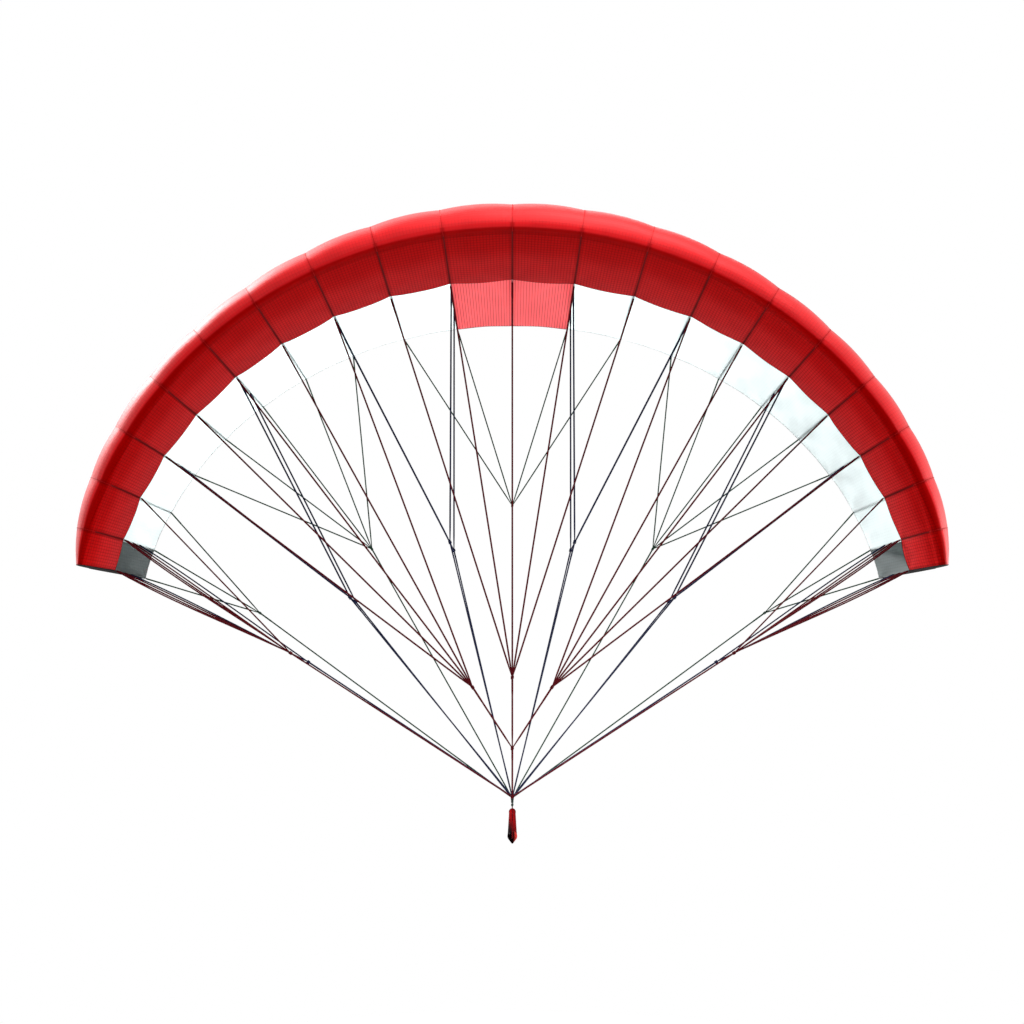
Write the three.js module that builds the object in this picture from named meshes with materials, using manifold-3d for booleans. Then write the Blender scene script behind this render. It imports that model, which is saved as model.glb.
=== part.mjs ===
// Parawing: an arched single-skin canopy, 20 cells wide, on four trees of lines that end at a short hand bar.
// Millimetres. +X runs to the right tip, +Y from the nose to the trailing edge, +Z up.
// The origin is the middle of the bar's grip, where the hands hold the wing in flight.
import * as THREE from 'three';
import { mergeVertices } from 'three/addons/utils/BufferGeometryUtils.js';
import Module from 'manifold-3d';

const wasm = await Module();
wasm.setup();
const degrees = THREE.MathUtils.degToRad;
const lerp = THREE.MathUtils.lerp;

// Arch of the nose line, seen from the front: it turns faster towards the tips
const ARCH_TOP = new THREE.Vector3(0, -310, 2109);
const ARCH_TIP_ANGLE = degrees(83.3);
const ARCH_TIGHTENING = 0.177;
const ARCH_STEP = 2;

// Ribs from mid span to the tip: the width of the cell that each one closes, and how full its section is
const RIBS = [
  { rib: 0, cellWidth: 0, fullness: 0.96 },
  { rib: 1, cellWidth: 248, fullness: 0.96 },
  { rib: 2, cellWidth: 244, fullness: 0.96 },
  { rib: 3, cellWidth: 240, fullness: 0.97 },
  { rib: 4, cellWidth: 235, fullness: 1 },
  { rib: 5, cellWidth: 227, fullness: 1.05 },
  { rib: 6, cellWidth: 218, fullness: 1.12 },
  { rib: 7, cellWidth: 207, fullness: 1.19 },
  { rib: 8, cellWidth: 193, fullness: 1.22 },
  { rib: 9, cellWidth: 178, fullness: 1.12 },
  { rib: 10, cellWidth: 127, fullness: 0.72 },
];

// Plan form: chord, sweep and incidence change with the square and fourth power of the station
const ROOT_CHORD = 1050;
const CHORD_LOSS = { square: 0.656, fourth: -0.21 };
const SWEEP = { square: 480, fourth: -277 };
const ROOT_INCIDENCE = degrees(6.6);
const TIP_INCIDENCE_RISE = degrees(1.8);

// Section of the skin in shares of the chord, from the scalloped hem round the nose to the trailing edge.
// billow is how far the cloth stands out in mid cell, as a share of the cell's width.
const NOSE_SECTION = [
  { place: 'scalloped hem', aft: 0.267, up: -0.0907, billow: 0.046 },
  { place: 'lower skin, rear', aft: 0.18, up: -0.07, billow: 0.04 },
  { place: 'lower skin, middle', aft: 0.095, up: -0.044, billow: 0.03 },
  { place: 'lower skin, front', aft: 0.045, up: -0.025, billow: 0.016 },
  { place: 'chin crease', aft: 0.016, up: -0.0175, billow: 0.004 },
  { place: 'lip', aft: -0.004, up: -0.012, billow: 0.008 },
  { place: 'nose', aft: -0.014, up: 0.01, billow: 0.014 },
  { place: 'upper nose', aft: -0.006, up: 0.042, billow: 0.018 },
  { place: 'brow', aft: 0.02, up: 0.073, billow: 0.02 },
  { place: 'forehead', aft: 0.06, up: 0.101, billow: 0.022 },
  { place: 'shoulder', aft: 0.115, up: 0.125, billow: 0.022 },
  { place: 'rise', aft: 0.2, up: 0.145, billow: 0.022 },
  { place: 'top seam', aft: 0.33, up: 0.15, billow: 0.02 },
];
const AFT_SECTION = [
  { place: 'top seam', aft: 0.33, up: 0.15, billow: 0.02 },
  { place: 'crown', aft: 0.46, up: 0.136, billow: 0.018 },
  { place: 'middle', aft: 0.6, up: 0.108, billow: 0.016 },
  { place: 'rear', aft: 0.74, up: 0.074, billow: 0.014 },
  { place: 'tail', aft: 0.87, up: 0.038, billow: 0.012 },
  { place: 'trailing edge', aft: 1, up: 0, billow: 0.01 },
];
const WHOLE_SECTION = [...NOSE_SECTION, ...AFT_SECTION.slice(1)];

// Cloth sheets and ribs
const CLOTH = 1.2;
const SEAM_GAP = 0.4;
const CELL_STEPS = 4;
const RIB_INSET = 0.6;
const RIB_TAIL = { aft: 0.955, height: 8 };
const FREE_EDGE_LIFT = 0.55;
const FREE_EDGE_STEPS = 4;
const TAB_TIP_WIDTH = 5;
const TAB_HEM_GAP = 1.5;
const AFT_SHEETS = [
  { name: 'aft_tip_l', fromRib: -10, toRib: -9, finish: 'grey' },
  { name: 'aft_white_l', fromRib: -9, toRib: -1, finish: 'white' },
  { name: 'aft_centre', fromRib: -1, toRib: 1, finish: 'lightRed' },
  { name: 'aft_white_r', fromRib: 1, toRib: 9, finish: 'white' },
  { name: 'aft_tip_r', fromRib: 9, toRib: 10, finish: 'grey' },
];

// Places where lines are tied, in shares of the chord, and the ribs that have them.
// All are tabs on the ribs' free edge, but for the brake points on the trailing edge.
const TIES = {
  a: { aft: 0.276, up: -0.0985, ribs: [0, 1, 2, 3, 4, 5, 6, 7, 8, 9, 10] },
  b: { aft: 0.345, up: -0.087, ribs: [1, 3, 5, 7, 9, 10] },
  outer: { aft: 0.47, up: -0.071, ribs: [9, 10] },
  c: { aft: 0.63, up: -0.05, ribs: [1, 3, 5, 7, 9, 10] },
  brake: { aft: 0.994, up: -0.002, ribs: [1, 2, 3, 4, 5, 6, 7, 8, 9, 10] },
};
const TAB_ORDER = ['a', 'b', 'outer', 'c'];

// Lines: four trees, two of which meet over each end of the bar
const LINE_DIAMETER = 5;
const BRAKE_LINE_DIAMETER = 4;
const LINE_SIDES = 5;
const LINE_END_GAP = 1.5;
const KNOT_RADIUS = 5;
const STRAND_ROLL = degrees(29);
const FOOT_SPREAD = 6.5;
const FRONT_MEETING = new THREE.Vector3(0, -240, 107);
const REAR_MEETING = new THREE.Vector3(0, 235, 65);
const TREES = [
  { name: 'lines_a', meeting: FRONT_MEETING, footShift: -FOOT_SPREAD, diameter: LINE_DIAMETER,
    finish: 'redLine' },
  { name: 'lines_b', meeting: FRONT_MEETING, footShift: FOOT_SPREAD, diameter: LINE_DIAMETER,
    finish: 'blueLine' },
  { name: 'lines_c', meeting: REAR_MEETING, footShift: -FOOT_SPREAD, diameter: LINE_DIAMETER,
    finish: 'blueLine' },
  { name: 'lines_brake', meeting: REAR_MEETING, footShift: FOOT_SPREAD, diameter: BRAKE_LINE_DIAMETER,
    finish: 'greenLine' },
];

// Joints of the trees, a parent before its children. A joint lies on the way from its parent to the middle
// of the ties that it serves: share is how far along, and lean how far it is drawn in towards mid span.
// A joint with tied false only gathers other joints, and one with pair true is made on both sides.
const JOINTS = [
  { tree: 'lines_a', name: 'low', parent: 'foot', pair: false, share: 0.102, lean: 0, tied: false,
    serves: { a: [-7, -6, -5, -4, -3, -2, -1, 0, 1, 2, 3, 4, 5, 6, 7] } },
  { tree: 'lines_a', name: 'centre', parent: 'low', pair: false, share: 0.146, lean: 0, tied: true,
    serves: { a: [-2, -1, 0, 1, 2] } },
  { tree: 'lines_a', name: 'inner', parent: 'low', pair: true, share: 0.157, lean: 18, tied: true,
    serves: { a: [3, 4, 5, 6, 7] } },
  { tree: 'lines_a', name: 'tip', parent: 'foot', pair: true, share: 0.559, lean: 5, tied: true,
    serves: { a: [8, 9, 10], b: [9, 10], outer: [9, 10] } },
  { tree: 'lines_b', name: 'inner', parent: 'foot', pair: true, share: 0.497, lean: -3, tied: true,
    serves: { b: [1, 3] } },
  { tree: 'lines_b', name: 'outer', parent: 'foot', pair: true, share: 0.506, lean: 2, tied: true,
    serves: { b: [5, 7] } },
  { tree: 'lines_b', name: 'tip', parent: 'foot', pair: true, share: 0.532, lean: 23.5, tied: true,
    serves: { c: [9, 10] } },
  { tree: 'lines_c', name: 'inner', parent: 'foot', pair: true, share: 0.509, lean: 2.5, tied: true,
    serves: { c: [1, 3] } },
  { tree: 'lines_c', name: 'outer', parent: 'foot', pair: true, share: 0.522, lean: 5.5, tied: true,
    serves: { c: [5, 7] } },
  { tree: 'lines_brake', name: 'centre', parent: 'foot', pair: false, share: 0.604, lean: 0, tied: true,
    serves: { brake: [-2, -1, 1, 2] } },
  { tree: 'lines_brake', name: 'inner', parent: 'foot', pair: true, share: 0.621, lean: 63.5, tied: true,
    serves: { brake: [3, 4, 5, 6, 7] } },
  { tree: 'lines_brake', name: 'tip', parent: 'foot', pair: true, share: 0.725, lean: 37.5, tied: true,
    serves: { brake: [8, 9, 10] } },
];

// Bar: turned round its own axis, which lies fore and aft with the rear end a little high
const BAR_TILT = degrees(5);
const BAR_HALF_LENGTH = 250;
const BAR_SIDES = 20;
const BAR_GAP = 0.4;
const GRIP_TURNING = [
  { along: -226, radius: 15.6 },
  { along: -218, radius: 16.4 },
  { along: -150, radius: 15.4 },
  { along: 0, radius: 14.2 },
  { along: 150, radius: 13 },
  { along: 222, radius: 12.4 },
  { along: 230, radius: 11.8 },
];
const FRONT_CAP_TURNING = [
  { along: -250, radius: 8 },
  { along: -247, radius: 12 },
  { along: -241, radius: 15.4 },
  { along: -234, radius: 16.8 },
  { along: -226, radius: 16.8 },
];
const FINGER_STOP = { along: -240, drop: 20, radius: 4, detail: 1 };
const REAR_CAP_TURNING = [
  { along: 230, radius: 13 },
  { along: 240, radius: 13.2 },
  { along: 247, radius: 12.4 },
  { along: 250, radius: 10 },
];

// Leaders: doubled cords that come out of the bar's ends and rise to the lines' meeting points
const LEADER_DIAMETER = 4;
const LEADER_SIDES = 8;
const LEADER_STEPS = 14;
const LEADER_REACH = 9;
const REAR_KNOT_HEIGHT = 0.55;

// Finishes
const FINISHES = {
  red: { color: 0xd0141c, roughness: 0.55 },
  lightRed: { color: 0xf5666a, roughness: 0.6 },
  white: { color: 0xf6f9f9, roughness: 0.6 },
  grey: { color: 0x5b6265, roughness: 0.6 },
  ribCloth: { color: 0xdfe5e4, roughness: 0.65 },
  redLine: { color: 0x4a1218, roughness: 0.8 },
  blueLine: { color: 0x252a40, roughness: 0.8 },
  greenLine: { color: 0x3a4a42, roughness: 0.8 },
  leader: { color: 0x2a322e, roughness: 0.8 },
  grip: { color: 0xa01219, roughness: 0.35 },
  cap: { color: 0x1a0507, roughness: 0.4 },
};

// One mesh with the finish of that name
function piece(name, geometry, finish) {
  const { color, roughness } = FINISHES[finish];
  const material = new THREE.MeshStandardMaterial({ color, roughness, metalness: 0 });
  const mesh = new THREE.Mesh(geometry, material);
  mesh.name = name;
  return mesh;
}

// l03, c or r03: the side and number of a signed rib or cell
function sideLabel(index) {
  if (index === 0) return 'c';
  const number = String(Math.abs(index)).padStart(2, '0');
  return (index < 0 ? 'l' : 'r') + number;
}

const TIP_RIB = RIBS.length - 1;

// Distance along the arch from mid span to a signed rib
function stationOf(rib) {
  const inside = RIBS.slice(0, Math.abs(rib) + 1);
  return Math.sign(rib) * inside.reduce((sum, { cellWidth }) => sum + cellWidth, 0);
}

const HALF_ARCH = stationOf(TIP_RIB);

// How full the section is at a station, between the two ribs beside it
function fullnessAt(station) {
  const reach = Math.min(Math.abs(station), HALF_ARCH);
  const outer = Math.max(1, RIBS.findIndex(({ rib }) => stationOf(rib) >= reach));
  const share = (reach - stationOf(outer - 1)) / RIBS[outer].cellWidth;
  return lerp(RIBS[outer - 1].fullness, RIBS[outer].fullness, share);
}

// How far the arch has turned at a station
function archAngle(station) {
  const share = station / HALF_ARCH;
  return ARCH_TIP_ANGLE * ((1 - ARCH_TIGHTENING) * share + ARCH_TIGHTENING * share ** 3);
}

// The section at a station: its nose point, chord, and the directions aft, up and across
function sectionAt(station) {
  const nose = ARCH_TOP.clone();
  const steps = Math.ceil(Math.abs(station) / ARCH_STEP);
  const step = steps > 0 ? station / steps : 0;
  for (let i = 0; i < steps; i += 1) {
    const angle = archAngle((i + 0.5) * step);
    nose.x += Math.cos(angle) * step;
    nose.z -= Math.sin(angle) * step;
  }
  const share = station / HALF_ARCH;
  const square = share ** 2;
  const fourth = share ** 4;
  nose.y += SWEEP.square * square + SWEEP.fourth * fourth;
  const chord = ROOT_CHORD * (1 - CHORD_LOSS.square * square - CHORD_LOSS.fourth * fourth);
  const incidence = ROOT_INCIDENCE + TIP_INCIDENCE_RISE * square;
  const angle = archAngle(station);
  const outward = new THREE.Vector3(Math.sin(angle), 0, Math.cos(angle));
  const back = new THREE.Vector3(0, 1, 0);
  const aft = back.clone().multiplyScalar(Math.cos(incidence)).addScaledVector(outward, -Math.sin(incidence));
  const up = back.clone().multiplyScalar(Math.sin(incidence)).addScaledVector(outward, Math.cos(incidence));
  const across = new THREE.Vector3().crossVectors(aft, up);
  return { nose, chord, fullness: fullnessAt(station), aft, up, across };
}

// A section table in millimetres, its upper side as full as the section is
function rowsOf(rows, { chord, fullness }) {
  return rows.map(({ aft, up, billow }) => ({
    aft: aft * chord,
    up: up * chord * (up > 0 ? fullness : 1),
    billow,
  }));
}

// A point of a section, from millimetres aft and up of its nose point
function pointOn(section, aft, up) {
  return section.nose.clone().addScaledVector(section.aft, aft).addScaledVector(section.up, up);
}

// Unit directions that point out of the skin at each row of a section table
function outwardDirections(rows) {
  return rows.map((row, i) => {
    const before = rows[Math.max(i - 1, 0)];
    const after = rows[Math.min(i + 1, rows.length - 1)];
    const along = new THREE.Vector2(after.aft - before.aft, after.up - before.up).normalize();
    return new THREE.Vector2(-along.y, along.x);
  });
}

// One column of skin points across the rows, billowed for its place in the cell and lifted off by offset
function skinColumn(rows, { station, share, width }, offset) {
  const section = sectionAt(station);
  const sized = rowsOf(rows, section);
  const outward = outwardDirections(sized);
  const bulge = 4 * share * (1 - share) * width;
  return sized.map((row, i) => {
    const lift = row.billow * bulge + offset;
    return pointOn(section, row.aft + outward[i].x * lift, row.up + outward[i].y * lift);
  });
}

// Stations across a run of cells, with the seam gap taken off both ends
function cellColumns(fromRib, toRib) {
  const columns = [];
  for (let rib = fromRib; rib < toRib; rib += 1) {
    const start = stationOf(rib) + (rib === fromRib ? SEAM_GAP / 2 : 0);
    const end = stationOf(rib + 1) - (rib + 1 === toRib ? SEAM_GAP / 2 : 0);
    const firstStep = rib === fromRib ? 0 : 1;
    for (let step = firstStep; step <= CELL_STEPS; step += 1) {
      const share = step / CELL_STEPS;
      columns.push({ station: lerp(start, end, share), share, width: end - start });
    }
  }
  return columns;
}

// A closed thin solid between two grids of points, each a list of columns
function sheetBetween(inner, outer) {
  const columns = inner.length;
  const rows = inner[0].length;
  const points = [...inner.flat(), ...outer.flat()];
  const innerAt = (c, r) => c * rows + r;
  const outerAt = (c, r) => columns * rows + c * rows + r;
  const faces = [];
  const quad = (a, b, c, d) => faces.push(a, c, b, a, d, c);
  for (let c = 0; c < columns - 1; c += 1) {
    for (let r = 0; r < rows - 1; r += 1) {
      quad(outerAt(c, r), outerAt(c, r + 1), outerAt(c + 1, r + 1), outerAt(c + 1, r));
      quad(innerAt(c, r), innerAt(c + 1, r), innerAt(c + 1, r + 1), innerAt(c, r + 1));
    }
    quad(innerAt(c, 0), outerAt(c, 0), outerAt(c + 1, 0), innerAt(c + 1, 0));
    quad(innerAt(c, rows - 1), innerAt(c + 1, rows - 1), outerAt(c + 1, rows - 1), outerAt(c, rows - 1));
  }
  for (let r = 0; r < rows - 1; r += 1) {
    quad(innerAt(0, r), innerAt(0, r + 1), outerAt(0, r + 1), outerAt(0, r));
    const last = columns - 1;
    quad(innerAt(last, r), outerAt(last, r), outerAt(last, r + 1), innerAt(last, r + 1));
  }
  const geometry = new THREE.BufferGeometry().setFromPoints(points);
  geometry.setIndex(faces);
  return geometry;
}

// Cloth over a run of cells, from the first to the last row of a section table
function clothOver(rows, fromRib, toRib) {
  const columns = cellColumns(fromRib, toRib);
  const face = (offset) => columns.map((column) => skinColumn(rows, column, offset));
  return sheetBetween(face(0), face(CLOTH));
}

// The aft sheet's rows, with the first one moved back by the seam gap, which is least at the tip
function aftRows() {
  const [first, second] = AFT_SECTION;
  const tipChord = ROOT_CHORD * (1 - CHORD_LOSS.square - CHORD_LOSS.fourth);
  const share = SEAM_GAP / (tipChord * (second.aft - first.aft));
  const moved = { ...first, aft: lerp(first.aft, second.aft, share), up: lerp(first.up, second.up, share) };
  return [moved, ...AFT_SECTION.slice(1)];
}

// Height of the upper skin at a distance aft, in a section's own rows
function skinHeight(sized, aft) {
  const after = sized.findIndex((row) => row.up >= 0 && row.aft >= aft);
  const low = sized[after - 1];
  const high = sized[after];
  return lerp(low.up, high.up, (aft - low.aft) / (high.aft - low.aft));
}

// Outline of a rib in millimetres: inside the skin to its tail, then along the free edge from tab to tab
function ribOutline(rib, section) {
  const { chord } = section;
  const sized = rowsOf(WHOLE_SECTION, section);
  const outward = outwardDirections(sized);
  const inside = sized.map((row, i) => new THREE.Vector2(
    row.aft - outward[i].x * RIB_INSET,
    row.up - outward[i].y * RIB_INSET,
  ));
  const tailAft = RIB_TAIL.aft * chord;
  const tailUp = skinHeight(sized, tailAft) - RIB_INSET;
  const shape = new THREE.Shape();
  shape.moveTo(inside[0].x + TAB_HEM_GAP, inside[0].y);
  inside.filter((point) => point.x < tailAft).forEach((point) => shape.lineTo(point.x, point.y));
  shape.lineTo(tailAft, tailUp);
  shape.lineTo(tailAft, tailUp - RIB_TAIL.height);
  const tabs = TAB_ORDER.map((tie) => TIES[tie]).filter((tie) => tie.ribs.includes(Math.abs(rib)));
  tabs.reverse().forEach((tab) => {
    const tip = new THREE.Vector2(tab.aft * chord, tab.up * chord);
    const start = shape.currentPoint;
    const middle = new THREE.Vector2((start.x + tip.x) / 2, (start.y + tip.y) / 2);
    const control = lerp(middle.y, skinHeight(sized, middle.x), FREE_EDGE_LIFT);
    shape.quadraticCurveTo(middle.x, control, tip.x + TAB_TIP_WIDTH / 2, tip.y);
    shape.lineTo(tip.x - TAB_TIP_WIDTH / 2, tip.y);
  });
  shape.closePath();
  return shape;
}

// A rib's sheet, drawn flat and then stood in the plane of its section
function ribMesh(rib) {
  const section = sectionAt(stationOf(rib));
  const geometry = new THREE.ExtrudeGeometry(ribOutline(rib, section), {
    depth: CLOTH,
    bevelEnabled: false,
    curveSegments: FREE_EDGE_STEPS,
  });
  geometry.translate(0, 0, -CLOTH / 2);
  const isTip = Math.abs(rib) === TIP_RIB;
  const mesh = piece(`rib_${sideLabel(rib)}`, geometry, isTip ? 'grey' : 'ribCloth');
  const stand = new THREE.Matrix4().makeBasis(section.aft, section.up, section.across);
  mesh.quaternion.setFromRotationMatrix(stand);
  mesh.position.copy(section.nose);
  return mesh;
}

// Canopy: nose panels cell by cell, aft sheets, and ribs
function canopy() {
  const group = new THREE.Group();
  for (let rib = -TIP_RIB; rib < TIP_RIB; rib += 1) {
    const cell = rib < 0 ? rib : rib + 1;
    group.add(piece(`nose_panel_${sideLabel(cell)}`, clothOver(NOSE_SECTION, rib, rib + 1), 'red'));
  }
  AFT_SHEETS.forEach(({ name, fromRib, toRib, finish }) => {
    group.add(piece(name, clothOver(aftRows(), fromRib, toRib), finish));
  });
  for (let rib = -TIP_RIB; rib <= TIP_RIB; rib += 1) {
    group.add(ribMesh(rib));
  }
  return group;
}

// A closed geometry as a solid that can be joined
function toSolid(geometry) {
  const bare = geometry.clone();
  bare.deleteAttribute('normal');
  bare.deleteAttribute('uv');
  const merged = mergeVertices(bare);
  const vertProperties = Float32Array.from(merged.attributes.position.array);
  const triVerts = Uint32Array.from(merged.index.array);
  return new wasm.Manifold(new wasm.Mesh({ numProp: 3, vertProperties, triVerts }));
}

function toGeometry(solid) {
  const mesh = solid.getMesh();
  const geometry = new THREE.BufferGeometry();
  geometry.setAttribute('position', new THREE.BufferAttribute(mesh.vertProperties, 3));
  geometry.setIndex(new THREE.BufferAttribute(mesh.triVerts, 1));
  return geometry;
}

// The union of several closed geometries
function joined(geometries) {
  return toGeometry(geometries.map(toSolid).reduce((sum, solid) => sum.add(solid)));
}

// The skin drawn tight round several closed geometries
function wrapped(geometries) {
  return toGeometry(wasm.Manifold.hull(geometries.map(toSolid)));
}

// A straight strand between two points, rolled about its length so that no two strands have aligned sides
function strand(from, to, diameter, roll) {
  const along = new THREE.Vector3().subVectors(to, from);
  const length = along.length();
  const geometry = new THREE.CylinderGeometry(diameter / 2, diameter / 2, length, LINE_SIDES);
  geometry.rotateY(roll);
  const turn = new THREE.Quaternion().setFromUnitVectors(new THREE.Vector3(0, 1, 0), along.normalize());
  geometry.applyQuaternion(turn);
  const middle = from.clone().lerp(to, 0.5);
  geometry.translate(middle.x, middle.y, middle.z);
  return geometry;
}

function knot(place) {
  const geometry = new THREE.IcosahedronGeometry(KNOT_RADIUS, 0);
  geometry.translate(place.x, place.y, place.z);
  return geometry;
}

// Where a line is tied on a signed rib
function tiePoint(tie, rib) {
  const section = sectionAt(stationOf(rib));
  return pointOn(section, TIES[tie].aft * section.chord, TIES[tie].up * section.chord);
}

// Every tie that a joint serves, on one side
function tiesServed({ serves }, side) {
  return Object.entries(serves).flatMap(([tie, ribs]) => ribs.map((rib) => tiePoint(tie, side * rib)));
}

// One tree of lines: its foot, its joints on one side or both, and the strands between them
function lineTree({ name, meeting, footShift, diameter, finish }) {
  const foot = meeting.clone().add(new THREE.Vector3(0, footShift, FOOT_SPREAD));
  const places = { foot };
  const solids = [knot(foot)];
  const addStrand = (from, to) => solids.push(strand(from, to, diameter, solids.length * STRAND_ROLL));
  JOINTS.filter((joint) => joint.tree === name).forEach((joint) => {
    const sides = joint.pair ? [-1, 1] : [1];
    sides.forEach((side) => {
      const parent = places[joint.parent];
      const ties = tiesServed(joint, side);
      const middle = new THREE.Vector3();
      ties.forEach((tie) => middle.addScaledVector(tie, 1 / ties.length));
      const place = parent.clone().lerp(middle, joint.share);
      place.x -= joint.pair ? side * joint.lean : 0;
      places[joint.name] = place;
      solids.push(knot(place));
      addStrand(parent, place);
      if (!joint.tied) return;
      ties.forEach((tie) => {
        const end = tie.clone().addScaledVector(tie.clone().sub(place).normalize(), -LINE_END_GAP);
        addStrand(place, end);
      });
    });
  });
  return piece(name, joined(solids), finish);
}

// A turned shape along the bar, closed to its axis at both ends
function turned(turning) {
  const first = turning[0];
  const last = turning[turning.length - 1];
  const profile = [
    new THREE.Vector2(0, first.along),
    ...turning.map(({ along, radius }) => new THREE.Vector2(radius, along)),
    new THREE.Vector2(0, last.along),
  ];
  return new THREE.LatheGeometry(profile, BAR_SIDES);
}

// The front cap: turned, and drawn down to a rounded stop for the fingers
function frontCap() {
  const { along, drop, radius, detail } = FINGER_STOP;
  const stop = new THREE.IcosahedronGeometry(radius, detail);
  stop.translate(0, along, -drop);
  return wrapped([turned(withGap(FRONT_CAP_TURNING, false, true)), stop]);
}

// The same turning with its first and last rows drawn in by half the gap between pieces
function withGap(turning, atFirst, atLast) {
  return turning.map((row, i) => {
    if (i === 0 && atFirst) return { ...row, along: row.along + BAR_GAP / 2 };
    if (i === turning.length - 1 && atLast) return { ...row, along: row.along - BAR_GAP / 2 };
    return row;
  });
}

// A leader from one end of the bar, out along the bar's axis and up to the knot under a meeting point
function leader(name, end, meeting, knotHeights, finish) {
  const axis = new THREE.Vector3(0, Math.cos(BAR_TILT), Math.sin(BAR_TILT));
  const face = axis.clone().multiplyScalar(end * (BAR_HALF_LENGTH + BAR_GAP));
  const top = meeting.clone().add(new THREE.Vector3(0, 0, -FOOT_SPREAD));
  const bend = face.clone().addScaledVector(axis, end * LEADER_REACH);
  const rise = bend.clone().add(new THREE.Vector3(0, 0, LEADER_REACH));
  const path = new THREE.CatmullRomCurve3([face, bend, rise, top]);
  const shape = new THREE.Shape();
  for (let i = 0; i < LEADER_SIDES; i += 1) {
    const turn = (2 * Math.PI * i) / LEADER_SIDES;
    const corner = [Math.cos(turn), Math.sin(turn)].map((part) => (part * LEADER_DIAMETER) / 2);
    if (i === 0) shape.moveTo(...corner);
    else shape.lineTo(...corner);
  }
  const cord = new THREE.ExtrudeGeometry(shape, {
    steps: LEADER_STEPS,
    extrudePath: path,
    bevelEnabled: false,
  });
  const knots = knotHeights.map((height) => knot(rise.clone().lerp(top, height)));
  return piece(name, joined([cord, ...knots]), finish);
}

// Bar: grip and end caps on the tilted axis, and a leader at each end
function bar() {
  const turnedPieces = new THREE.Group();
  turnedPieces.rotation.x = BAR_TILT;
  turnedPieces.add(
    piece('bar_grip', turned(withGap(GRIP_TURNING, true, true)), 'grip'),
    piece('bar_cap_front', frontCap(), 'cap'),
    piece('bar_cap_rear', turned(withGap(REAR_CAP_TURNING, true, false)), 'cap'),
  );
  const group = new THREE.Group();
  group.add(
    turnedPieces,
    leader('leader_front', -1, FRONT_MEETING, [1], 'redLine'),
    leader('leader_rear', 1, REAR_MEETING, [REAR_KNOT_HEIGHT, 1], 'leader'),
  );
  return group;
}

const parawing = new THREE.Group();
parawing.add(canopy(), ...TREES.map(lineTree), bar());

export default parawing;
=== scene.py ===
# Looks of the parawing: an arched single-skin canopy on four trees of lines that end at a short hand bar.
# Metres, in the part's own frame: +X to the right tip, +Y from the nose to the trailing edge, +Z up.
import math

import bmesh
import bpy
import numpy as np
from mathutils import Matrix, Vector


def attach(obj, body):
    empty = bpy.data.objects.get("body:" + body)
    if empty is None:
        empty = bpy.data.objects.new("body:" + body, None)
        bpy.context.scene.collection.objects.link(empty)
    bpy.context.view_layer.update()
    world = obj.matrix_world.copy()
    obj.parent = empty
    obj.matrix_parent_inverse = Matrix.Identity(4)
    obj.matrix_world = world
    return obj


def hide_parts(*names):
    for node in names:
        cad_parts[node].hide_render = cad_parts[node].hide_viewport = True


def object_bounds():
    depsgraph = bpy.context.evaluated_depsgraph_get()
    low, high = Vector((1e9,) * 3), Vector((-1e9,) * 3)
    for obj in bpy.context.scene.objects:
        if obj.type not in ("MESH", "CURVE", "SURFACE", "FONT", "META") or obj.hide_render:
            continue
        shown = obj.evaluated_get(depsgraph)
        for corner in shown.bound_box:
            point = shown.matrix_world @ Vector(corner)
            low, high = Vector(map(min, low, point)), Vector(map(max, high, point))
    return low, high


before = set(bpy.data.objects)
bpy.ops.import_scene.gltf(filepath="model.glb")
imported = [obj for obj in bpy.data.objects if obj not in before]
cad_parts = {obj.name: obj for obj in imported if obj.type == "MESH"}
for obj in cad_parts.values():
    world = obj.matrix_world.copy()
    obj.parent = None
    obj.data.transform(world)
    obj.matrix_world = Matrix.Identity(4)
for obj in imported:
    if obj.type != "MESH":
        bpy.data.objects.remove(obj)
CAD_LOW, CAD_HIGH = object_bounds()
BODY = "root"

# Camera: where the photograph was taken from, with its picture taken as 1024 pixels wide
PICTURE_WIDTH = 1024
FOCAL_PIXELS = 1516.9
SENSOR_WIDTH = 36.0
CAMERA_PLACE = (0.0, -5.5175, 0.5208)
CAMERA_PITCH = 0.1082
CAMERA_SHIFT = (-0.0003, 0.0005)

# Arch of the nose line and plan form
ARCH_TOP = np.array((0.0, -0.310, 2.109))
ARCH_TIP_ANGLE = math.radians(83.3)
ARCH_TIGHTENING = 0.177
ARCH_STEPS = 4000
CELL_WIDTHS = np.array((0.248, 0.244, 0.240, 0.235, 0.227, 0.218, 0.207, 0.193, 0.178, 0.127))
RIB_FULLNESS = np.array((0.96, 0.96, 0.96, 0.97, 1.0, 1.05, 1.12, 1.19, 1.22, 1.12, 0.72))
RIB_STATIONS = np.concatenate(([0.0], np.cumsum(CELL_WIDTHS)))
HALF_ARCH = RIB_STATIONS[-1]
TIP_RIB = len(CELL_WIDTHS)
ROOT_CHORD = 1.05
CHORD_LOSS_SQUARE = 0.656
CHORD_LOSS_FOURTH = -0.21
SWEEP_SQUARE = 0.480
SWEEP_FOURTH = -0.277
ROOT_INCIDENCE = math.radians(6.6)
TIP_INCIDENCE_RISE = math.radians(1.8)

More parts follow.
